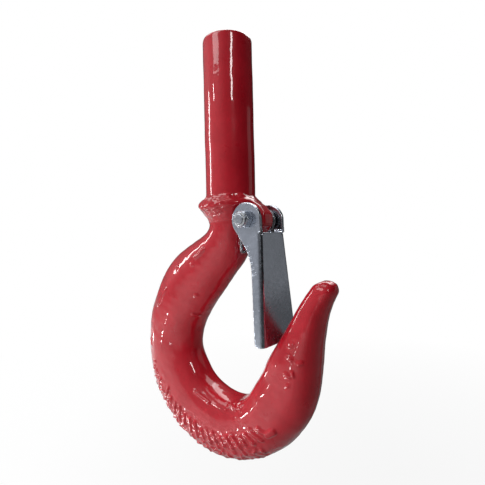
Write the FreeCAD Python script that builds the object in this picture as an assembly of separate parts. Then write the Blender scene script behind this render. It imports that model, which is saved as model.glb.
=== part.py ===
"""Shank hook with a spring-loaded safety latch, for hoists and rigging.

Frame: the origin is on the shank's axis where the shank meets the collar.
+Z runs up the shank, +X points at the hook's tip, and the hook is flat in the
XZ plane, so Y is its thickness.  All lengths are millimetres.
"""
import FreeCAD
import Part
import math
import os

from FreeCAD import Vector

# ---------------------------------------------------------------- driving dimensions

# Shank and collar
SHANK_RADIUS = 10.3
SHANK_LENGTH = 65.5
SHANK_END_ROUND = 1.0
COLLAR_RADIUS = 13.3
COLLAR_RIM_Z = -3.7
COLLAR_RIM_ROUND = 2.4
NECK_RADIUS = 9.5

# Bowl: the load rides on the saddle arc, and the back is a larger arc about its own centre
SADDLE_CENTRE = (0.0, -62.0)
SADDLE_RADIUS = 21.2
BACK_CENTRE = (-4.5, -64.0)
BACK_RADIUS = 44.0
BACK_OVAL = 0.3               # the back arc stands out this much below the bowl
TIP_FACE_DISTANCE = 17.8      # from the saddle's centre to the tip's straight inner face
TIP_FACE_NORMAL = -32.0       # degrees, direction from the saddle's centre to that face
TIP_FACE_BLEND = 12.0         # power of the blend from the arc into the face, higher is tighter
BOWL_HALF_WIDTH = 10.0
FRONT_NARROWING = 1.0         # the half width lost between the bowl's lowest point and its front

# Stations of the forging: inner edge (x, z), outer edge (x, z), half width, squareness
NECK_STATIONS = [
    ((9.5, -7.0), (-9.5, -7.0), 9.5, 0.0),
    ((9.5, -13.5), (-9.6, -12.5), 9.4, 0.0),
    ((7.0, -22.7), (-16.4, -17.0), 9.4, 0.1),
    ((1.2, -30.8), (-30.6, -24.8), 9.6, 0.15),
    ((-8.3, -41.9), (-40.9, -37.2), 9.9, 0.15),
    ((-17.1, -53.0), (-46.5, -50.1), 10.1, 0.15),
]
TIP_STATIONS = [
    ((26.7, -52.2), (40.9, -51.0), 8.1, 1.0),
    ((31.8, -43.4), (42.3, -45.0), 6.9, 1.0),
    ((36.8, -36.0), (45.1, -39.2), 5.5, 1.0),
]
NOSE_HEADING = 52.0           # degrees, the way the tip points
NOSE_LENGTH = 5.2
NOSE_STEPS = (28, 52, 72, 85)  # degrees round the nose's quarter ellipse

# Cross-section of the forging: squarer towards the saddle, rounder along the back
INNER_SQUARENESS = 3.2
OUTER_SQUARENESS = 2.3
BACK_SQUARENESS = 0.15        # share of that shape at the bowl's back, rising to 1 at its foot
BACK_SWELL = 0.6              # the rounder back stands this far into the saddle, falling to 0
SECTION_POINTS = 32

# Latch pin and the lug that carries it
PIN_X = 13.5
PIN_Z = -10.2
BOLT_RADIUS = 2.0
PIN_BORE_RADIUS = 2.15
LUG_HALF_WIDTH = 3.5
LUG_CORNERS = [(5.0, -0.6), (10.2, -0.6), (15.9, -4.6), (18.4, -8.0),
               (18.4, -12.0), (15.6, -15.6), (9.0, -19.0), (5.0, -19.0)]
LUG_FRONT_X = 12.0            # corners beyond this are rounded
LUG_CORNER_ROUND = 2.4
LUG_EDGE_ROUND = 0.9
EAR_POCKET_RADIUS = 7.2
EAR_POCKET_GAP = 0.35         # between each ear's inner face and the neck

# Latch: a pressed-steel channel, open towards the bowl
SHEET = 1.5
EAR_HALF_WIDTH = 9.0          # outside, where the ears are parallel
EAR_RADIUS = 6.6
WEB_TOP_Z = -15.2
WEB_TOP_X = 20.2              # outer face of the web at its top edge
LATCH_END_Z = -57.6
WEB_END_X = 22.8
END_HALF_WIDTH = 12.8         # outside, at the flared lower end
BEND_RADIUS = 1.9             # outside of the fold
FLANK_TAPER = 52.0            # degrees below horizontal, from the ear to the flank
FLANK_BACK_TOP = (16.1, -24.6)
FLANK_BACK_END_X = 18.9
FLANK_BLEND_RADIUS = 22.0
FLANK_CORNER_RADIUS = 1.5
NOTCH_RADIUS = 0.9            # relief where the web's top edge meets each fold

# Fasteners
HEAD_FLATS = 6.2
HEAD_HEIGHT = 2.8
HEAD_CHAMFER = 0.45
BOLT_END_Y = -13.6
BOLT_END_CHAMFER = 0.3
NUT_FLATS = 6.2
NUT_HEX_HEIGHT = 3.1
NUT_HEIGHT = 4.1
NUT_CHAMFER = 0.4
NUT_COLLAR_RADIUS = 2.85
NUT_COLLAR_ROUND = 0.5
CORNER_TURNED_OFF = 0.05      # a hexagon's corners are turned down by this much
RING_WALL = 0.45
RING_SEAT_DEPTH = 1.4
RING_RECESS = 0.15
SEAT_GAP = 0.05

# Torsion spring, one wire wound on both sides of the lug
WIRE_RADIUS = 0.65
COIL_RADIUS = 3.85
COIL_PITCH = 1.42
COIL_TURNS = 1.5
COIL_INNER_Y = 4.35
COIL_STEPS = 48

# Half of the spring's route, x, y and z: the foot that bears on the neck, up to the coil,
# and the arm from the coil down to the bridge that presses on the latch's web
SPRING_FOOT = [(8.3, 2.4, -22.6), (8.5, 4.6, -22.6), (9.1, 5.9, -21.4),
               (9.4, 6.3, -18.6), (9.65, 6.45, -14.1)]
SPRING_ARM = [(17.4, 4.3, -13.7), (17.7, 4.1, -18.5), (18.1, 3.4, -21.5),
              (18.15, 2.2, -22.5)]

# Longer than any part is thick, for tools that cut right through
THROUGH = 20.0


def unit(angle):
    """A direction in the XZ plane, in degrees from +X towards +Z."""
    return Vector(math.cos(math.radians(angle)), 0, math.sin(math.radians(angle)))


def in_plane(point):
    """A point of the hook's middle plane, from its x and z."""
    return Vector(point[0], 0, point[1])


# ---------------------------------------------------------------- hook body

def section(inner, outer, half_width, squareness=1.0):
    """Points round a section of the forging, from its inner edge and back to it.

    Squareness 0 gives an ellipse, and 1 the full shape of the bowl's sections.
    """
    middle = (inner + outer) * 0.5
    half_depth = (inner - outer) * 0.5
    points = []
    for step in range(SECTION_POINTS):
        turn = 2 * math.pi * step / SECTION_POINTS
        across = math.cos(turn)
        along = math.sin(turn)
        share = 0.5 + 0.5 * across
        full = INNER_SQUARENESS * share + OUTER_SQUARENESS * (1 - share)
        power = 2 / (2 + (full - 2) * squareness)
        reach = math.copysign(abs(across) ** power, across)
        side = math.copysign(abs(along) ** power, along)
        points.append(middle + half_depth * reach + Vector(0, half_width * side, 0))
    return points


def skin(sections):
    """A solid whose smooth surface passes through every section in turn."""
    around = [step / SECTION_POINTS for step in range(SECTION_POINTS + 1)]
    rings = []
    for points in sections:
        ring = Part.BSplineCurve()
        ring.interpolate(Points=points, PeriodicFlag=True, Parameters=around)
        rings.append(ring)
    middles = [sum(points, Vector()) * (1 / SECTION_POINTS) for points in sections]
    stations = [0.0]
    for before, after in zip(middles, middles[1:]):
        stations.append(stations[-1] + before.distanceToPoint(after))
    lines = []
    for poles in zip(*[ring.getPoles() for ring in rings]):
        line = Part.BSplineCurve()
        line.interpolate(Points=list(poles), Parameters=stations)
        lines.append(line)
    surface = Part.BSplineSurface()
    surface.buildFromPolesMultsKnots(
        [line.getPoles() for line in lines],
        rings[0].getMultiplicities(), lines[0].getMultiplicities(),
        rings[0].getKnots(), lines[0].getKnots(),
        True, False, rings[0].Degree, lines[0].Degree)
    side = surface.toShape()
    ends = [edge for edge in side.Edges if edge.isClosed()]
    caps = [Part.Face(Part.Wire([edge])) for edge in ends]
    shell = Part.makeShell([side] + caps)
    shell.sewShape()
    solid = Part.makeSolid(shell)
    if solid.Volume < 0:
        solid.reverse()
    return solid


def saddle_reach(angle):
    """Distance from the saddle's centre to the inner edge, on the arc or the tip's face."""
    away = math.cos(math.radians(angle - TIP_FACE_NORMAL))
    if away <= 0:
        return SADDLE_RADIUS
    chord = TIP_FACE_DISTANCE / away
    blended = SADDLE_RADIUS ** -TIP_FACE_BLEND + chord ** -TIP_FACE_BLEND
    return blended ** (-1 / TIP_FACE_BLEND)


def bowl_sections():
    """Sections round the bowl, each on a ray from the arcs' centres."""
    sections = []
    for angle in range(180, 361, 20):
        rise = min(1.0, (angle - 180) / 100)
        squareness = BACK_SQUARENESS + (1 - BACK_SQUARENESS) * rise
        inner_reach = saddle_reach(angle) - BACK_SWELL * (1 - rise)
        inner = in_plane(SADDLE_CENTRE) + unit(angle) * inner_reach
        back_reach = BACK_RADIUS + BACK_OVAL * math.cos(math.radians(2 * (angle - 250)))
        outer = in_plane(BACK_CENTRE) + unit(angle) * back_reach
        front = max(0.0, (angle - 290) / 70)
        half_width = BOWL_HALF_WIDTH - FRONT_NARROWING * front ** 1.5
        sections.append(section(inner, outer, half_width, squareness))
    return sections


def station(row):
    """The section at one row of the station tables."""
    inner, outer, half_width, squareness = row
    return section(in_plane(inner), in_plane(outer), half_width, squareness)


def nose_sections(row):
    """Shrinking sections that round off the tip beyond its last station."""
    inner, outer, half_width, squareness = row
    middle = (in_plane(inner) + in_plane(outer)) * 0.5
    half_depth = (in_plane(inner) - in_plane(outer)) * 0.5
    sections = []
    for turn in NOSE_STEPS:
        shrink = math.cos(math.radians(turn))
        ahead = NOSE_LENGTH * math.sin(math.radians(turn))
        centre = middle + unit(NOSE_HEADING) * ahead
        near = centre + half_depth * shrink
        far = centre - half_depth * shrink
        sections.append(section(near, far, half_width * shrink, squareness))
    return sections


def hook_blank():
    """The curved forging from inside the collar, round the bowl, to the tip."""
    sections = [station(row) for row in NECK_STATIONS]
    sections += bowl_sections()
    sections += [station(row) for row in TIP_STATIONS]
    sections += nose_sections(TIP_STATIONS[-1])
    return skin(sections)


def shank_and_collar():
    """The turned shank, its collar ring and the flare under it, as one revolved solid."""
    rim_x = COLLAR_RADIUS - COLLAR_RIM_ROUND
    top = Vector(SHANK_RADIUS, 0, SHANK_LENGTH)
    rim_top = Vector(rim_x, 0, COLLAR_RIM_Z) + unit(60) * COLLAR_RIM_ROUND
    rim_side = Vector(COLLAR_RADIUS, 0, COLLAR_RIM_Z)
    rim_low = Vector(rim_x, 0, COLLAR_RIM_Z) + unit(-55) * COLLAR_RIM_ROUND
    flare_mid = Vector(10.3, 0, -8.2)
    flare_end = Vector(NECK_RADIUS - 0.5, 0, -13.0)
    outline = [
        Part.makeLine(Vector(0, 0, SHANK_LENGTH), top),
        Part.makeLine(top, Vector(SHANK_RADIUS, 0, 0)),
        Part.makeLine(Vector(SHANK_RADIUS, 0, 0), rim_top),
        Part.Arc(rim_top, rim_side, rim_low).toShape(),
        Part.Arc(rim_low, flare_mid, flare_end).toShape(),
        Part.makeLine(flare_end, Vector(0, 0, flare_end.z)),
        Part.makeLine(Vector(0, 0, flare_end.z), Vector(0, 0, SHANK_LENGTH)),
    ]
    face = Part.Face(Part.Wire(outline))
    turned = face.revolve(Vector(0, 0, 0), Vector(0, 0, 1), 360)
    end_edge = [e for e in turned.Edges if abs(e.BoundBox.ZMin - SHANK_LENGTH) < 0.01]
    return turned.makeFillet(SHANK_END_ROUND, end_edge)


def lug():
    """The flat-sided boss in front of the neck that the latch hangs from."""
    points = [Vector(x, -LUG_HALF_WIDTH, z) for x, z in LUG_CORNERS]
    face = Part.Face(Part.makePolygon(points + points[:1]))
    block = face.extrude(Vector(0, 2 * LUG_HALF_WIDTH, 0))
    along_y = [e for e in block.Edges
               if abs(e.tangentAt(e.FirstParameter).y) > 0.99 and e.BoundBox.XMin > LUG_FRONT_X]
    block = block.makeFillet(LUG_CORNER_ROUND, along_y)
    rims = [e for e in block.Edges
            if e.BoundBox.YLength < 0.01 and e.BoundBox.XMax > SHANK_RADIUS + 0.2]
    return block.makeFillet(LUG_EDGE_ROUND, rims)


def y_cylinder(radius, y_from, y_to, x=PIN_X, z=PIN_Z):
    """A cylinder along Y between two places, by default about the latch pin."""
    return Part.makeCylinder(radius, y_to - y_from, Vector(x, y_from, z), Vector(0, 1, 0))


def hook_body():
    """The forging with its shank, lug, pin bore and the seats beside the ears."""
    body = hook_blank().fuse(shank_and_collar()).fuse(lug())
    bore = y_cylinder(PIN_BORE_RADIUS, -THROUGH, THROUGH)
    pocket_y = EAR_HALF_WIDTH - SHEET - EAR_POCKET_GAP
    near_pocket = y_cylinder(EAR_POCKET_RADIUS, -THROUGH, -pocket_y)
    far_pocket = y_cylinder(EAR_POCKET_RADIUS, pocket_y, THROUGH)
    return body.cut(bore).cut(near_pocket).cut(far_pocket).removeSplitter()


# ---------------------------------------------------------------- latch

def web_x(z):
    """X of the web's outer face at a height."""
    share = (WEB_TOP_Z - z) / (WEB_TOP_Z - LATCH_END_Z)
    return WEB_TOP_X + (WEB_END_X - WEB_TOP_X) * share


def half_width(z):
    """Outside half width of the flared channel at a height."""
    share = (WEB_TOP_Z - z) / (WEB_TOP_Z - LATCH_END_Z)
    return EAR_HALF_WIDTH + (END_HALF_WIDTH - EAR_HALF_WIDTH) * share


def channel_outline(z, inset, bend):
    """A U-shaped outline at a height: square at the back, rounded at the two folds."""
    front = web_x(z) - inset
    side = half_width(z) - inset
    diagonal = bend * (1 - math.sqrt(0.5))
    back = 0.0
    corners = [
        Vector(back, -side, z),
        Vector(front - bend, -side, z),
        Vector(front, -side + bend, z),
        Vector(front, side - bend, z),
        Vector(front - bend, side, z),
        Vector(back, side, z),
    ]
    near_arc = Part.Arc(corners[1], Vector(front - diagonal, -side + diagonal, z), corners[2])
    far_arc = Part.Arc(corners[3], Vector(front - diagonal, side - diagonal, z), corners[4])
    return Part.Wire([
        Part.makeLine(corners[0], corners[1]),
        near_arc.toShape(),
        Part.makeLine(corners[2], corners[3]),
        far_arc.toShape(),
        Part.makeLine(corners[4], corners[5]),
        Part.makeLine(corners[5], corners[0]),
    ])


def flared_channel():
    """The folded part below the window, from two ruled shells."""
    low = LATCH_END_Z - 1.0
    outside = Part.makeLoft([channel_outline(WEB_TOP_Z, 0, BEND_RADIUS),
                             channel_outline(low, 0, BEND_RADIUS)], True, True)
    inside = Part.makeLoft([channel_outline(WEB_TOP_Z + 1.0, SHEET, BEND_RADIUS - SHEET),
                            channel_outline(low - 1.0, SHEET, BEND_RADIUS - SHEET)], True, True)
    return outside.cut(inside)


def side_profile():
    """The latch seen along Y: round ear, tapering flank and rounded lower corner."""
    pin = Vector(PIN_X, 0, PIN_Z)
    taper_normal = unit(-FLANK_TAPER - 90)
    ear_tangent = pin + taper_normal * EAR_RADIUS
    corner = Vector(FLANK_BACK_TOP[0], 0, FLANK_BACK_TOP[1])
    taper = (corner - ear_tangent).normalize()
    low_back = Vector(FLANK_BACK_END_X, 0, LATCH_END_Z)
    flank = (low_back - corner).normalize()
    turn = taper.getAngle(flank)
    reach = FLANK_BLEND_RADIUS * math.tan(turn / 2)
    blend_start = corner - taper * reach
    blend_end = corner + flank * reach
    bulge = FLANK_BLEND_RADIUS * (1 / math.cos(turn / 2) - 1)
    blend_mid = corner + ((flank - taper).normalize()) * bulge
    front = WEB_TOP_X + 4.0
    corner_start = low_back - flank * FLANK_CORNER_RADIUS
    corner_end = low_back + Vector(FLANK_CORNER_RADIUS, 0, 0)
    corner_mid = low_back + Vector(0.3, 0, 0.3) * FLANK_CORNER_RADIUS
    ear_front = pin + Vector(EAR_RADIUS, 0, 0)
    window_front = Vector(WEB_TOP_X, 0, WEB_TOP_Z)
    edges = [
        Part.Arc(ear_front, pin + unit(100) * EAR_RADIUS, ear_tangent).toShape(),
        Part.makeLine(ear_tangent, blend_start),
        Part.Arc(blend_start, blend_mid, blend_end).toShape(),
        Part.makeLine(blend_end, corner_start),
        Part.Arc(corner_start, corner_mid, corner_end).toShape(),
        Part.makeLine(corner_end, Vector(front, 0, LATCH_END_Z)),
        Part.makeLine(Vector(front, 0, LATCH_END_Z), Vector(front, 0, WEB_TOP_Z)),
        Part.makeLine(Vector(front, 0, WEB_TOP_Z), window_front),
        Part.makeLine(window_front, ear_front),
    ]
    face = Part.Face(Part.Wire(edges))
    reach_y = END_HALF_WIDTH + 2
    face.translate(Vector(0, -reach_y, 0))
    return face.extrude(Vector(0, 2 * reach_y, 0))


def latch():
    """Parallel ears above, flared channel below, with relief notches beside the window."""
    near_corner = Vector(0, -EAR_HALF_WIDTH, WEB_TOP_Z)
    far_corner = Vector(0, EAR_HALF_WIDTH - SHEET, WEB_TOP_Z)
    near_ear = Part.makeBox(WEB_TOP_X, SHEET, THROUGH, near_corner)
    far_ear = Part.makeBox(WEB_TOP_X, SHEET, THROUGH, far_corner)
    pressed = flared_channel().fuse(near_ear).fuse(far_ear).common(side_profile())
    notch_y = EAR_HALF_WIDTH - SHEET
    for side in (-1, 1):
        notch = Part.makeCylinder(NOTCH_RADIUS, THROUGH, Vector(PIN_X, side * notch_y, WEB_TOP_Z),
                                  Vector(1, 0, 0))
        pressed = pressed.cut(notch)
    return pressed.cut(y_cylinder(PIN_BORE_RADIUS, -THROUGH, THROUGH)).removeSplitter()


# ---------------------------------------------------------------- fasteners

def hexagon(flats, y_from, height, turn):
    """A hexagonal prism along Y about the pin axis."""
    radius = flats / math.sqrt(3)
    points = []
    for step in range(6):
        spoke = unit(turn + 60 * step) * radius
        points.append(Vector(PIN_X, y_from, PIN_Z) + spoke)
    face = Part.Face(Part.makePolygon(points + points[:1]))
    return face.extrude(Vector(0, height, 0))


def turned_blank(radius, y_from, y_to, chamfer):
    """A chamfered round blank along Y, used to turn the corners off a hexagon."""
    blank = y_cylinder(radius, y_from, y_to)
    rims = [e for e in blank.Edges if e.BoundBox.YLength < 0.01]
    return blank.makeChamfer(chamfer, rims)


def latch_bolt():
    """Hexagon head on the far side, plain shank, and a chamfered end past the nut."""
    head_seat = EAR_HALF_WIDTH + SEAT_GAP
    head = hexagon(HEAD_FLATS, head_seat, HEAD_HEIGHT, turn=15)
    corner_radius = HEAD_FLATS / math.sqrt(3) - CORNER_TURNED_OFF
    head = head.common(turned_blank(corner_radius, head_seat - HEAD_HEIGHT,
                                    head_seat + HEAD_HEIGHT, HEAD_CHAMFER))
    shaft = y_cylinder(BOLT_RADIUS, BOLT_END_Y, head_seat + 0.5)
    end_rim = [e for e in shaft.Edges
               if e.BoundBox.YLength < 0.01 and e.BoundBox.YMax < BOLT_END_Y + 0.01]
    shaft = shaft.makeChamfer(BOLT_END_CHAMFER, end_rim)
    return head.fuse(shaft).removeSplitter()


def lock_nut():
    """Hexagon with a round collar that holds the locking ring."""
    seat = -EAR_HALF_WIDTH - SEAT_GAP
    hex_end = seat - NUT_HEX_HEIGHT
    end = seat - NUT_HEIGHT
    body = hexagon(NUT_FLATS, hex_end, NUT_HEX_HEIGHT, turn=0)
    corner_radius = NUT_FLATS / math.sqrt(3) - CORNER_TURNED_OFF
    body = body.common(turned_blank(corner_radius, hex_end, seat, NUT_CHAMFER))
    collar = y_cylinder(NUT_COLLAR_RADIUS, end, hex_end + 0.5)
    rim = [e for e in collar.Edges
           if e.BoundBox.YLength < 0.01 and e.BoundBox.YMax < end + 0.01]
    collar = collar.makeFillet(NUT_COLLAR_ROUND, rim)
    nut = body.fuse(collar)
    nut = nut.cut(y_cylinder(BOLT_RADIUS, end - 1, seat + 1))
    ring_seat = y_cylinder(BOLT_RADIUS + RING_WALL, end - 1, end + RING_SEAT_DEPTH)
    return nut.cut(ring_seat).removeSplitter()


def lock_nut_insert():
    """The nylon ring pressed into the nut's collar, tight round the bolt's thread."""
    end = -EAR_HALF_WIDTH - SEAT_GAP - NUT_HEIGHT
    ring = y_cylinder(BOLT_RADIUS + RING_WALL, end + RING_RECESS, end + RING_SEAT_DEPTH)
    return ring.cut(y_cylinder(BOLT_RADIUS, end, end + NUT_HEIGHT))


# ---------------------------------------------------------------- torsion spring

def spring_half_route(side):
    """Points along one half of the spring, from its foot to the middle of the bridge."""
    coil_outer_y = COIL_INNER_Y + COIL_PITCH * COIL_TURNS
    pin = Vector(PIN_X, 0, PIN_Z)
    coil = []
    for step in range(COIL_STEPS + 1):
        share = step / COIL_STEPS
        y = coil_outer_y - (coil_outer_y - COIL_INNER_Y) * share
        spoke = unit(180 - 360 * COIL_TURNS * share) * COIL_RADIUS
        coil.append(pin + spoke + Vector(0, side * y, 0))
    foot = [Vector(x, side * y, z) for x, y, z in SPRING_FOOT]
    arm = [Vector(x, side * y, z) for x, y, z in SPRING_ARM]
    return foot + coil + arm


def torsion_spring():
    """One round wire swept along both halves of the route."""
    near = spring_half_route(-1)
    far = spring_half_route(1)
    far.reverse()
    curve = Part.BSplineCurve()
    curve.interpolate(near + far)
    path = Part.Wire([curve.toShape()])
    start = curve.value(curve.FirstParameter)
    heading = curve.tangent(curve.FirstParameter)[0]
    circle = Part.Wire([Part.makeCircle(WIRE_RADIUS, start, heading)])
    return path.makePipeShell([circle], True, True)


# ---------------------------------------------------------------- files

PARTS = {
    "hook_body": hook_body,
    "latch": latch,
    "torsion_spring": torsion_spring,
    "latch_bolt": latch_bolt,
    "lock_nut": lock_nut,
    "lock_nut_insert": lock_nut_insert,
}

os.makedirs("parts", exist_ok=True)
for name, make in PARTS.items():
    shape = make()
    shape.exportStep(os.path.join("parts", name + ".step"))
    print(name, "solids", len(shape.Solids), "valid", shape.isValid(),
          "volume", round(shape.Volume, 1))
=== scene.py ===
"""Looks for the shank hook with safety latch: glossy red enamel over a forging, zinc-plated
latch and fasteners, and a spring-steel torsion spring.

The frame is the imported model's: metres, origin where the shank meets its collar, +Z up the
shank, +X towards the tip, and Y through the hook's thickness.  Lengths written as a number
times MM are millimetres.
"""

import math

import bmesh
import bpy
import numpy as np
from mathutils import Matrix, Vector

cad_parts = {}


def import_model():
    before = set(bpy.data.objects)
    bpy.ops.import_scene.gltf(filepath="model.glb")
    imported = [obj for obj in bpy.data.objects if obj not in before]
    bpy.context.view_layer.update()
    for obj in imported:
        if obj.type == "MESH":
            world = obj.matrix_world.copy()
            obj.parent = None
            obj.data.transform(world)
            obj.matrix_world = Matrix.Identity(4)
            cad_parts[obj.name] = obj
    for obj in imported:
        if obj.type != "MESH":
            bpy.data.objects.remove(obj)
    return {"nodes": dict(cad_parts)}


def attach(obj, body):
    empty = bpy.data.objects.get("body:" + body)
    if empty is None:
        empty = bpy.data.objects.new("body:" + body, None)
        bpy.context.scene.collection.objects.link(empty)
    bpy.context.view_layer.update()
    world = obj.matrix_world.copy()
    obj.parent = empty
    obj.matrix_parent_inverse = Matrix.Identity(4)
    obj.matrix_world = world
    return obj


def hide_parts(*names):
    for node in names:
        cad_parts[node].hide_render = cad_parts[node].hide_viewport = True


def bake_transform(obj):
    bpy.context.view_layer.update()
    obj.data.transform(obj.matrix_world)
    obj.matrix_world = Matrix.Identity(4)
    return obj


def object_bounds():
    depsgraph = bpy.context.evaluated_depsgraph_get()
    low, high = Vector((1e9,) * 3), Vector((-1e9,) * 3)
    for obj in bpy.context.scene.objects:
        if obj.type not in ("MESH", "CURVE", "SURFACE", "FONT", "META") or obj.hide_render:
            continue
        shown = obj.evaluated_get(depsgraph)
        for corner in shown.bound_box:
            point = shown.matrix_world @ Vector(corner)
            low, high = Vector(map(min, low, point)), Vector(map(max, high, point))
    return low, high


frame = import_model()
CAD_LOW, CAD_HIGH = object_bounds()

MM = 0.001

# Places shared with the design: x and z, mm
PIN = (13.5, -10.2)                 # the latch's bolt
BACK_CENTRE = (-4.5, -64.0)         # centre of the bowl's back arc
SADDLE_CENTRE = (0.0, -62.0)        # centre of the bowl's inner arc


# ---------------------------------------------------------------- mesh helpers

WELD_DISTANCE = 0.001               # mm


def remeshed(node, name, voxel, passes):
    """A new object over a CAD node: one even, closed mesh with its edges softened."""
    piece = bpy.data.objects.new(name, frame["nodes"][node].data.copy())
    bpy.context.scene.collection.objects.link(piece)
    welded = bmesh.new()
    welded.from_mesh(piece.data)
    bmesh.ops.remove_doubles(welded, verts=welded.verts, dist=WELD_DISTANCE * MM)
    welded.to_mesh(piece.data)
    welded.free()
    remesh = piece.modifiers.new("even", "REMESH")
    remesh.mode = "VOXEL"
    remesh.voxel_size = voxel * MM
    soften = piece.modifiers.new("soften", "SMOOTH")
    soften.factor = 0.5
    soften.iterations = passes
    return applied(piece)


def applied(piece):
    """The piece with its modifiers made real."""
    graph = bpy.context.evaluated_depsgraph_get()
    mesh = bpy.data.meshes.new_from_object(piece.evaluated_get(graph))
    piece.modifiers.clear()
    piece.data = mesh
    mesh.materials.clear()
    mesh.shade_smooth()
    return piece


def points_of(piece):
    """Vertex positions in millimetres, and vertex normals, as arrays."""
    count = len(piece.data.vertices)
    spots = np.empty(count * 3)
    piece.data.vertices.foreach_get("co", spots)
    normals = np.empty(count * 3)
    piece.data.vertex_normals.foreach_get("vector", normals)
    return spots.reshape(-1, 3) / MM, normals.reshape(-1, 3)


def move_points(piece, spots):
    """Puts the vertices at these positions in millimetres, kept inside the CAD box."""
    kept = np.clip(spots * MM, np.array(CAD_LOW), np.array(CAD_HIGH))
    piece.data.vertices.foreach_set("co", kept.astype(np.float32).ravel())
    piece.data.update()


def smooth_step(value, low, high):
    """0 below low, 1 above high, and smooth between them."""
    share = np.clip((value - low) / (high - low), 0, 1)
    return share * share * (3 - 2 * share)


def waviness(spots, length, seed, waves=14):
    """Smooth unevenness from -1 to 1 or so, with features about length mm across."""
    draw = np.random.default_rng(seed)
    total = np.zeros(len(spots))
    for _ in range(waves):
        heading = draw.normal(size=3)
        heading /= np.linalg.norm(heading)
        pace = 2 * math.pi / length * draw.uniform(0.7, 1.4)
        total += np.sin(spots @ heading * pace + draw.uniform(0, 2 * math.pi))
    return total / math.sqrt(waves)


# ---------------------------------------------------------------- raised marks

def bar(x, z, centre, length, turn, width):
    """Distance in mm outside a round-ended bar, turned by degrees about its middle."""
    cos, sin = math.cos(math.radians(turn)), math.sin(math.radians(turn))
    along = (x - centre[0]) * cos + (z - centre[1]) * sin
    across = (z - centre[1]) * cos - (x - centre[0]) * sin
    return np.hypot(np.maximum(np.abs(along) - length / 2, 0), across) - width / 2


def raised(x, z, bars, edge):
    """Height of plain raised bars: full inside each one, falling to nothing over its edge."""
    height = np.zeros(len(x))
    for centre, length, turn, width, high in bars:
        outside = smooth_step(bar(x, z, centre, length, turn, width), -edge / 2, edge / 2)
        height = np.maximum(height, high * (1 - outside))
    return height


def on_arc(centre, radius, angle):
    """A point on an arc in the XZ plane, in mm."""
    return (centre[0] + radius * math.cos(math.radians(angle)),
            centre[1] + radius * math.sin(math.radians(angle)))


# Small nubs left by the die: arc centre, radius, first and last angle, how many, height
NUB_ARCS = [
    (BACK_CENTRE, 36.6, 194, 226, 10, 0.5),
    (BACK_CENTRE, 40.0, 204, 304, 26, 0.45),
    (SADDLE_CENTRE, 18.4, 212, 246, 7, 0.55),
    (SADDLE_CENTRE, 22.2, 270, 292, 6, 0.5),
    ((-14.0, -51.4), 2.4, 0, 300, 7, 0.6),
]

# Single bars: centre, length, turn, width, height
SINGLE_BARS = [
    ((22.6, -89.2), 2.6, 35, 2.4, 0.9),
    ((-42.2, -63.6), 3.0, 105, 0.9, 0.4),
    ((-9.0, -22.4), 3.2, 40, 1.3, 0.6),
    ((-11.4, -24.2), 2.2, 30, 1.1, 0.5),
    ((5.8, -25.6), 2.0, 40, 1.1, 0.7),
    ((7.3, -24.8), 1.6, 40, 1.0, 0.6),
    ((-24.1, -28.2), 1.2, 20, 1.2, 0.5),
    ((-14.3, -27.8), 0.8, 0, 1.0, 0.45),
    ((-13.8, -40.7), 0.8, 0, 1.0, 0.5),
    ((-33.6, -42.6), 8.4, 52, 1.6, 0.45),
    ((-11.8, -83.4), 8.4, -22, 1.1, 0.6),
    ((31.6, -56.0), 1.4, 20, 1.0, 0.55),
    ((31.2, -60.4), 1.8, -35, 1.0, 0.55),
    ((35.0, -61.8), 1.0, 20, 1.1, 0.5),
    ((30.4, -66.6), 1.6, -30, 1.0, 0.55),
    ((32.4, -66.0), 1.2, 100, 0.9, 0.5),
    ((30.4, -70.2), 0.8, 40, 1.0, 0.4),
]


# The hatch: slanted bars round the bowl's back arc
HATCH_RADIUS = 34.4
HATCH_START = 219                   # degrees
HATCH_STEP = 5.9                    # degrees
HATCH_COUNT = 17
HATCH_LENGTHS = (6.0, 3.4, 4.8)     # repeated along the row
HATCH_LEAN = 24                     # degrees from the radius
HATCH_WIDTH = 1.15
HATCH_HEIGHT = 0.75

NUB_LENGTH = 1.8
NUB_WIDTH = 0.9
NUB_STAGGER = 0.8                   # nubs stand this far in and out of their arc by turns
NUB_TURN = 55                       # degrees from each nub to the next
MARK_EDGE = 0.7                     # width of a mark's sloping edge


def body_marks(x, z):
    """Height of the hatch of plain bars round the bowl, the nubs and the single bars."""
    bars = list(SINGLE_BARS)
    for place in range(HATCH_COUNT):
        angle = HATCH_START + HATCH_STEP * place
        length = HATCH_LENGTHS[place % len(HATCH_LENGTHS)]
        bars.append((on_arc(BACK_CENTRE, HATCH_RADIUS, angle), length, angle + HATCH_LEAN,
                     HATCH_WIDTH, HATCH_HEIGHT))
    for centre, radius, first, last, count, high in NUB_ARCS:
        for place in range(count):
            angle = first + (last - first) * place / (count - 1)
            outward = NUB_STAGGER if place % 2 else -NUB_STAGGER
            bars.append((on_arc(centre, radius + outward, angle), NUB_LENGTH, NUB_TURN * place,
                         NUB_WIDTH, high))
    return raised(x, z, bars, MARK_EDGE)


# ---------------------------------------------------------------- pieces

def flow(spots, z):
    """Gentle unevenness, more below the shank than on it."""
    below_shank = 1 - smooth_step(z, -3, 3)
    height = (0.04 + 0.08 * below_shank) * waviness(spots, 15, 1)
    return height + (0.01 + 0.018 * below_shank) * waviness(spots, 4.5, 2)


def collar_lumps(spots, x, z):
    """Paint-filled lumps round the collar, fading out before the latch's ears."""
    from_pin = np.hypot(x - PIN[0], z - PIN[1])
    collar = smooth_step(z, -10, -7) * (1 - smooth_step(z, -0.5, 1.2)) * smooth_step(from_pin, 8.5, 11)
    return collar * 0.26 * np.clip(waviness(spots, 3.4, 3), -0.8, 1.6)


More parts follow.
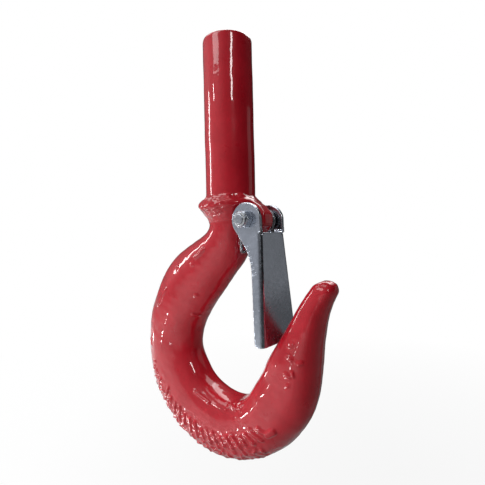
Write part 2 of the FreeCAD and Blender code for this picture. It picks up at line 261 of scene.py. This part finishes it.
def die_seam(x, y, z, normals):
    """The low ridge where the dies met, round the outside of the bowl."""
    outward = normals[:, 0] * (x - SADDLE_CENTRE[0]) + normals[:, 2] * (z - SADDLE_CENTRE[1])
    seam = np.exp(-(y / 0.55) ** 2) * (1 - smooth_step(z, -16, -12)) * smooth_step(outward, 5, 15)
    return 0.2 * seam


def crumpled_band(spots, x, z, normals):
    """Rough skin under and round the hatch, on the near face."""
    reach = np.hypot(x - BACK_CENTRE[0], z - BACK_CENTRE[1])
    round_by = np.degrees(np.arctan2(z - BACK_CENTRE[1], x - BACK_CENTRE[0])) % 360
    crumpled = smooth_step(reach, 29, 33) * (1 - smooth_step(np.abs(round_by - 256), 44, 62))
    crumpled *= smooth_step(-normals[:, 1], 0.05, 0.3)
    return crumpled * 0.16 * waviness(spots, 3.0, 4)


def hook_skin():
    """The enamelled forging: uneven like hammered steel, with a die seam and raised marks."""
    piece = remeshed("hook_body", "hook_body_enamel", 0.52, 3)
    spots, normals = points_of(piece)
    x, y, z = spots.T
    height = flow(spots, z)
    height += collar_lumps(spots, x, z)
    height += die_seam(x, y, z, normals)
    height += crumpled_band(spots, x, z, normals)
    near_face = smooth_step(-normals[:, 1], 0.25, 0.5) * (1 - smooth_step(z, -20, -17))
    height += near_face * body_marks(x, z)
    move_points(piece, spots + normals * height[:, None])
    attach(piece, "hook")
    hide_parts("hook_body")
    return piece


# The ladder of short bars stamped down the latch's near flank
STAMP_TOP = (13.9, -21.0)
STAMP_STEP = (0.8, -2.0)
STAMP_COUNT = 6
STAMP_LENGTH = 1.6
STAMP_TURN = 25                     # degrees
STAMP_WIDTH = 0.6
STAMP_HEIGHT = 0.12
STAMP_EDGE = 0.4


def latch_skin():
    """The pressed latch with rounded edges and a ladder of short stamped bars on its flank."""
    piece = remeshed("latch", "latch_plated", 0.24, 5)
    spots, normals = points_of(piece)
    x, y, z = spots.T
    height = 0.015 * waviness(spots, 9, 5) + 0.004 * waviness(spots, 2.2, 6)
    facing = smooth_step(-normals[:, 1], 0.6, 0.85)
    stamps = [((STAMP_TOP[0] + STAMP_STEP[0] * place, STAMP_TOP[1] + STAMP_STEP[1] * place),
               STAMP_LENGTH, STAMP_TURN, STAMP_WIDTH, STAMP_HEIGHT) for place in range(STAMP_COUNT)]
    stamped = raised(x, z, stamps, STAMP_EDGE)
    move_points(piece, spots + normals * (height + facing * stamped)[:, None])
    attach(piece, "latch")
    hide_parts("latch")
    return piece


def fastener_skin(node, name, seed):
    """A bolt or nut with worn, rounded edges."""
    piece = remeshed(node, name, 0.12, 3)
    spots, normals = points_of(piece)
    move_points(piece, spots + normals * (0.01 * waviness(spots, 1.8, seed))[:, None])
    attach(piece, "fastener")
    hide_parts(node)
    return piece


# The spring's wire and route, as the design has them, mm
WIRE_RADIUS = 0.65
COIL_RADIUS = 3.85
COIL_TURNS = 1.5
COIL_STEPS = 72
COIL_INNER_Y = 4.35
COIL_OUTER_Y = 6.48
SPRING_FOOT = [(8.3, 2.4, -22.6), (8.5, 4.6, -22.6), (9.1, 5.9, -21.4),
               (9.4, 6.3, -18.6), (9.65, 6.45, -14.1)]
SPRING_ARM = [(17.4, 4.3, -13.7), (17.7, 4.1, -18.5), (18.1, 3.4, -21.5), (18.15, 2.2, -22.5)]


def half_spring(side):
    """Points of half the spring, from its foot through the coil to the bridge."""
    coil = []
    for step in range(COIL_STEPS + 1):
        share = step / COIL_STEPS
        turn = math.radians(180 - 360 * COIL_TURNS * share)
        coil.append((PIN[0] + COIL_RADIUS * math.cos(turn),
                     COIL_OUTER_Y - (COIL_OUTER_Y - COIL_INNER_Y) * share,
                     PIN[1] + COIL_RADIUS * math.sin(turn)))
    return [Vector((x, side * y, z)) for x, y, z in SPRING_FOOT + coil + SPRING_ARM]


def smoothed(route, spacing):
    """Closely spaced points on a smooth curve through the route's points."""
    line = [route[0]]
    for before, here, there, after in zip(route, route[1:], route[2:], route[3:]):
        steps = max(1, round((there - here).length / spacing))
        for step in range(steps):
            t = step / steps
            line.append(0.5 * (2 * here + (there - before) * t
                               + (2 * before - 5 * here + 4 * there - after) * t * t
                               + (3 * here - before - 3 * there + after) * t ** 3))
    return line + [route[-2], route[-1]]


def spring_wire():
    """One wire: a foot and coil on each side, joined by the bridge that follows the latch."""
    points = smoothed(half_spring(-1) + half_spring(1)[::-1], 0.35)
    line = bpy.data.curves.new("spring_route", "CURVE")
    line.dimensions = "3D"
    line.bevel_depth = WIRE_RADIUS * MM
    line.bevel_resolution = 5
    line.use_fill_caps = True
    spline = line.splines.new("POLY")
    spline.points.add(len(points) - 1)
    for point, spot in zip(spline.points, points):
        point.co = (spot.x * MM, spot.y * MM, spot.z * MM, 1)
    wire = bpy.data.objects.new("torsion_spring_wire", line)
    bpy.context.scene.collection.objects.link(wire)
    graph = bpy.context.evaluated_depsgraph_get()
    mesh = bpy.data.meshes.new_from_object(wire.evaluated_get(graph))
    bpy.data.objects.remove(wire)
    piece = bpy.data.objects.new("torsion_spring_wire", mesh)
    bpy.context.scene.collection.objects.link(piece)
    mesh.shade_smooth()
    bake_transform(piece)
    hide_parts("torsion_spring")
    return piece


# ---------------------------------------------------------------- materials

class Nodes:
    """A short way to build a node material."""

    def __init__(self, name):
        self.material = bpy.data.materials.new(name)
        self.material.use_nodes = True
        self.tree = self.material.node_tree
        self.shader = self.tree.nodes["Principled BSDF"]
        self.place = self.add("ShaderNodeTexCoord").outputs["Object"]

    def add(self, kind, inputs=None, **settings):
        """A node with its settings, and its inputs linked or set."""
        node = self.tree.nodes.new(kind)
        for key, value in settings.items():
            setattr(node, key, value)
        for key, value in (inputs or {}).items():
            if isinstance(value, bpy.types.NodeSocket):
                self.tree.links.new(value, node.inputs[key])
            else:
                node.inputs[key].default_value = value
        return node

    def set(self, **values):
        """Links or sets the shader's own sockets."""
        for key, value in values.items():
            socket = self.shader.inputs[key.replace("_", " ")]
            if isinstance(value, bpy.types.NodeSocket):
                self.tree.links.new(value, socket)
            else:
                socket.default_value = value

    def noise(self, size, detail=3.0, stretch=(1, 1, 1)):
        """Noise whose features are about size mm across."""
        place = self.add("ShaderNodeMapping", {"Vector": self.place, "Scale": stretch})
        made = self.add("ShaderNodeTexNoise", {"Vector": place.outputs["Vector"],
                                               "Scale": 1 / (size * MM), "Detail": detail})
        return made.outputs["Fac"]

    def spread(self, source, low, high, to_low, to_high):
        """A number mapped from one range to another."""
        made = self.add("ShaderNodeMapRange", {"Value": source, "From Min": low, "From Max": high,
                                               "To Min": to_low, "To Max": to_high})
        return made.outputs["Result"]

    def between(self, factor, first, second):
        """A colour between two colours."""
        made = self.add("ShaderNodeMix", data_type="RGBA")
        self.tree.links.new(factor, made.inputs[0])
        for socket, value in ((made.inputs[6], first), (made.inputs[7], second)):
            if isinstance(value, bpy.types.NodeSocket):
                self.tree.links.new(value, socket)
            else:
                socket.default_value = (*value, 1)
        return made.outputs[2]

    def bump(self, source, distance, under=None):
        """A bump distance mm high, over another one if that is given."""
        inputs = {"Height": source, "Distance": distance * MM, "Strength": 1.0}
        if under is not None:
            inputs["Normal"] = under
        return self.add("ShaderNodeBump", inputs).outputs["Normal"]


def enamel():
    """Thick glossy red paint: slight flow in its surface and in its depth of colour."""
    n = Nodes("red_enamel")
    pool = n.spread(n.noise(9, 2), 0.3, 0.7, 0, 1)
    fine = n.spread(n.noise(1.3, 2), 0.35, 0.7, 0, 1)
    red = n.between(pool, (0.49, 0.009, 0.020), (0.58, 0.014, 0.028))
    red = n.between(n.spread(fine, 0, 1, 0, 0.16), red, (0.32, 0.012, 0.018))
    orange_peel = n.bump(n.noise(1.6, 1.5), 0.035)
    n.set(Base_Color=red, Roughness=n.spread(n.noise(5, 3), 0.3, 0.7, 0.26, 0.36),
          Normal=orange_peel, Specular_IOR_Level=0.12)
    n.set(Coat_Weight=1.0, Coat_Roughness=0.045, Coat_IOR=1.5,
          Coat_Normal=n.bump(n.noise(2.6, 1), 0.03))
    return n.material


def zinc(name, light, dark, roughness, grain):
    """Plated steel: faintly cloudy and drawn along the sheet, lighter at its edges as rubbed wear and
    painted highlight.
    """
    n = Nodes(name)
    cloud = n.spread(n.noise(3.2 * grain, 4), 0.35, 0.68, 0, 1)
    drawn = n.noise(0.5 * grain, 2, stretch=(1, 1, 0.12))
    tone = n.between(cloud, dark, light)
    tone = n.between(n.spread(drawn, 0.35, 0.7, 0, 0.2), tone, tuple(0.72 * c for c in light))
    speck = n.spread(n.noise(0.28 * grain, 1), 0.68, 0.76, 0, 0.25)
    tone = n.between(speck, tone, tuple(0.45 * c for c in dark))
    # Lighter towards sharp edges: partly rubbed wear, partly a painted highlight where light would
    # catch the edges.
    edge = n.add("ShaderNodeNewGeometry").outputs["Pointiness"]
    tone = n.between(n.spread(edge, 0.52, 0.57, 0, 1), tone, (0.93, 0.94, 0.96))
    rough = n.spread(n.noise(1.6 * grain, 3), 0.3, 0.7, roughness - 0.03, roughness + 0.06)
    n.set(Base_Color=tone, Metallic=1.0, Roughness=rough,
          Normal=n.bump(drawn, 0.005, under=n.bump(n.noise(0.9 * grain, 3), 0.008)))
    return n.material


def steel_wire():
    """Oiled spring wire, drawn lines along it."""
    n = Nodes("spring_steel")
    streak = n.noise(0.5, 3, stretch=(1, 1, 0.3))
    tone = n.between(n.spread(streak, 0.3, 0.7, 0, 1), (0.16, 0.16, 0.17), (0.42, 0.42, 0.44))
    n.set(Base_Color=tone, Metallic=1.0,
          Roughness=n.spread(n.noise(1.0, 2), 0.3, 0.7, 0.22, 0.36), Normal=n.bump(streak, 0.01))
    return n.material


def nylon():
    """Milky moulded nylon with a soft sheen."""
    n = Nodes("nylon_ring")
    milk = n.between(n.noise(0.8, 3), (0.42, 0.43, 0.44), (0.62, 0.63, 0.64))
    n.set(Base_Color=milk, Roughness=n.spread(n.noise(0.4, 2), 0.3, 0.7, 0.38, 0.5),
          Normal=n.bump(n.noise(0.3, 2), 0.01))
    return n.material


def paint(piece, material):
    """Gives a piece one material."""
    piece.data.materials.clear()
    piece.data.materials.append(material)


# ---------------------------------------------------------------- studio

# The camera stands in front of the hook's near face, 36 degrees round towards its tip
CAMERA_TURN = math.radians(36)
RIGHT = Vector((math.cos(CAMERA_TURN), math.sin(CAMERA_TURN), 0))
BACK = Vector((math.sin(CAMERA_TURN), -math.cos(CAMERA_TURN), 0))
UP = Vector((0, 0, 1))
CAMERA_LENS = 29.24                 # for a sensor 36 mm wide
CAMERA_RIGHT = 4.38                 # mm from the shank's axis, across the view
CAMERA_BACK = 165.21                # mm from the shank's axis, along the view
CAMERA_HEIGHT = -18.94              # mm
CAMERA_TILT = -1.4                  # degrees


def camera():
    """The photograph's view: level, close, and tilted a little."""
    lens = bpy.data.cameras.new("camera")
    lens.sensor_width = 36
    lens.lens = CAMERA_LENS
    lens.clip_start = 5 * MM
    lens.clip_end = 20
    stand = bpy.data.objects.new("camera", lens)
    bpy.context.scene.collection.objects.link(stand)
    facing = Matrix((RIGHT, UP, BACK)).transposed().to_4x4()
    spot = RIGHT * CAMERA_RIGHT * MM + BACK * CAMERA_BACK * MM + UP * CAMERA_HEIGHT * MM
    tilt = Matrix.Rotation(math.radians(CAMERA_TILT), 4, "Z")
    stand.matrix_world = Matrix.Translation(spot) @ facing @ tilt
    bpy.context.scene.camera = stand


def panel(name, round_by, low, high, distance, width, radiance, aim):
    """An area lamp that faces the shank's axis at the height aim, or level if aim is None."""
    lamp = bpy.data.lights.new(name, "AREA")
    lamp.shape = "RECTANGLE"
    lamp.size = width
    lamp.size_y = high - low
    lamp.energy = radiance * math.pi * width * (high - low)
    holder = bpy.data.objects.new(name, lamp)
    bpy.context.scene.collection.objects.link(holder)
    turn = math.radians(round_by)
    heading = BACK * math.cos(turn) + RIGHT * math.sin(turn)
    holder.location = heading * distance + UP * (low + high) / 2
    target = Vector((0, 0, holder.location.z if aim is None else aim))
    holder.rotation_euler = (target - holder.location).to_track_quat("-Z", "Y").to_euler()
    holder.visible_camera = False


# Panels: name, degrees round from the camera, lower and upper height, distance and width in
# metres, radiance, and the height that they face
PANELS = [
    ("key", -54, 0.5, 1.0, 0.95, 0.55, 4.1, -0.03),
    ("window", -101, 0.08, 0.33, 0.8, 0.07, 17, None),
    ("strip", 19, 0.32, 0.62, 0.8, 0.08, 17, None),
    ("sky", -115, 0.55, 0.95, 0.5, 0.5, 2.5, -0.03),
    ("fill", 106, -0.1, 0.35, 0.9, 0.4, 0.26, None),
    ("back", 168, 0.6, 1.1, 0.7, 0.8, 4.2, -0.03),
    ("side", 128, 0.6, 1.0, 0.7, 0.5, 2.2, -0.03),
    ("top", -40, 0.8, 1.0, 0.25, 0.4, 2.0, -0.03),
]

# Small bare lamps: degrees round from the camera, distance, height and width in metres
GLINTS = [(-48, 0.45, -0.15, 0.011), (-82, 0.45, -0.15, 0.015), (-118, 0.45, -0.15, 0.015),
          (-70, 0.45, 0.2, 0.015), (-60, 0.15, -0.166, 0.01), (-75, 0.14, -0.166, 0.011),
          (-92, 0.14, -0.166, 0.011), (-112, 0.15, -0.166, 0.007)]
GLINT_RADIANCE = 45
GLINT_AIM = 0.05


def lights():
    """Key and sky on the left, two narrow strips, a weak fill, high back, side and top, glints."""
    for lamp in PANELS:
        panel(*lamp)
    for place, (round_by, distance, low, width) in enumerate(GLINTS):
        panel("glint_" + str(place), round_by, low, low + width, distance, width,
              GLINT_RADIANCE, GLINT_AIM)


# The room's light, from its dark side to its bright one
ROOM_STOPS = [(0.0, 0.0), (0.3, 0.01), (0.55, 0.035), (0.75, 0.16), (1.0, 0.5)]
BRIGHT_TURN = math.radians(-78)     # round from the camera


def world():
    """White behind the object, and for light a room that is bright on the left and dark right."""
    made = bpy.data.worlds.new("room")
    bpy.context.scene.world = made
    made.use_nodes = True
    tree = made.node_tree
    tree.nodes.clear()
    add = tree.nodes.new
    heading = add("ShaderNodeTexCoord")
    towards = add("ShaderNodeVectorMath")
    towards.operation = "DOT_PRODUCT"
    level = BACK * math.cos(BRIGHT_TURN) + RIGHT * math.sin(BRIGHT_TURN)
    bright = (level + UP * 0.5).normalized()
    towards.inputs[1].default_value = bright
    tree.links.new(heading.outputs["Generated"], towards.inputs[0])
    ramp = add("ShaderNodeValToRGB")
    while len(ramp.color_ramp.elements) < len(ROOM_STOPS):
        ramp.color_ramp.elements.new(0.5)
    for element, (place, value) in zip(ramp.color_ramp.elements, ROOM_STOPS):
        element.position = place
        element.color = (value, value, value * 1.03, 1)
    scaled = add("ShaderNodeMapRange")
    scaled.inputs["From Min"].default_value = -1
    tree.links.new(towards.outputs["Value"], scaled.inputs["Value"])
    tree.links.new(scaled.outputs["Result"], ramp.inputs["Fac"])
    room = add("ShaderNodeBackground")
    tree.links.new(ramp.outputs["Color"], room.inputs["Color"])
    room.inputs["Strength"].default_value = 1.0
    white = add("ShaderNodeBackground")
    white.inputs["Color"].default_value = (1, 1, 1, 1)
    path = add("ShaderNodeLightPath")
    mix = add("ShaderNodeMixShader")
    tree.links.new(path.outputs["Is Camera Ray"], mix.inputs[0])
    tree.links.new(room.outputs["Background"], mix.inputs[1])
    tree.links.new(white.outputs["Background"], mix.inputs[2])
    out = add("ShaderNodeOutputWorld")
    tree.links.new(mix.outputs["Shader"], out.inputs["Surface"])


FLOOR_RADIUS = 6                    # metres
FLOOR_DROP = 62                     # mm below the hook


def floor():
    """A round floor a little below the hook, fading into the white; painted light on its left, painted
    shade on its right.
    """
    bpy.ops.mesh.primitive_circle_add(vertices=128, radius=FLOOR_RADIUS, fill_type="NGON",
                                      location=(0, 0, CAD_LOW.z - FLOOR_DROP * MM))
    disc = bpy.context.object
    disc.name = "floor"
    n = Nodes("floor")
    far = n.add("ShaderNodeVectorMath", {0: n.place}, operation="LENGTH").outputs["Value"]
    shade = n.spread(far, 0.08, 0.5, 1.0, 0.0)
    # Painted light and shade: pale and glowing towards the hook's left, dark towards its right, seen
    # mostly in the hook's reflections.
    across = n.add("ShaderNodeVectorMath", {0: n.place, 1: -RIGHT},
                   operation="DOT_PRODUCT").outputs["Value"]
    painted_light_and_shade = n.between(n.spread(across, -0.1, 0.15, 0, 1), (0.1, 0.1, 0.1), (0.8, 0.8, 0.8))
    n.set(Base_Color=painted_light_and_shade, Roughness=0.9, Emission_Color=(1, 1, 1, 1),
          Emission_Strength=n.spread(across, 0.03, 0.3, 0.06, 0.2))
    n.set(Specular_IOR_Level=0.0)
    seen = n.add("ShaderNodeLightPath").outputs["Is Camera Ray"]
    glow = n.add("ShaderNodeEmission", {"Color": (1, 1, 1, 1), "Strength": 1.0})
    lit = n.add("ShaderNodeMixShader", {0: n.spread(shade, 0, 1, 1, 0.9)})
    n.tree.links.new(n.shader.outputs["BSDF"], lit.inputs[1])
    n.tree.links.new(glow.outputs["Emission"], lit.inputs[2])
    whole = n.add("ShaderNodeMixShader", {0: seen})
    n.tree.links.new(n.shader.outputs["BSDF"], whole.inputs[1])
    n.tree.links.new(lit.outputs["Shader"], whole.inputs[2])
    n.tree.links.new(whole.outputs["Shader"], n.tree.nodes["Material Output"].inputs["Surface"])
    disc.data.materials.append(n.material)


# ---------------------------------------------------------------- the scene

bpy.context.scene.view_settings.view_transform = "Standard"

paint(hook_skin(), enamel())
paint(latch_skin(), zinc("zinc_plated_sheet", (0.50, 0.54, 0.62), (0.46, 0.50, 0.57), 0.22, 1.0))
paint(fastener_skin("latch_bolt", "latch_bolt_plated", 8),
      zinc("zinc_plated_bolt", (0.46, 0.49, 0.54), (0.36, 0.39, 0.44), 0.27, 0.5))
paint(fastener_skin("lock_nut", "lock_nut_plated", 9),
      zinc("zinc_plated_nut", (0.52, 0.56, 0.62), (0.40, 0.43, 0.49), 0.24, 0.5))
paint(spring_wire(), steel_wire())
paint(frame["nodes"]["lock_nut_insert"], nylon())

floor()
world()
lights()
camera()
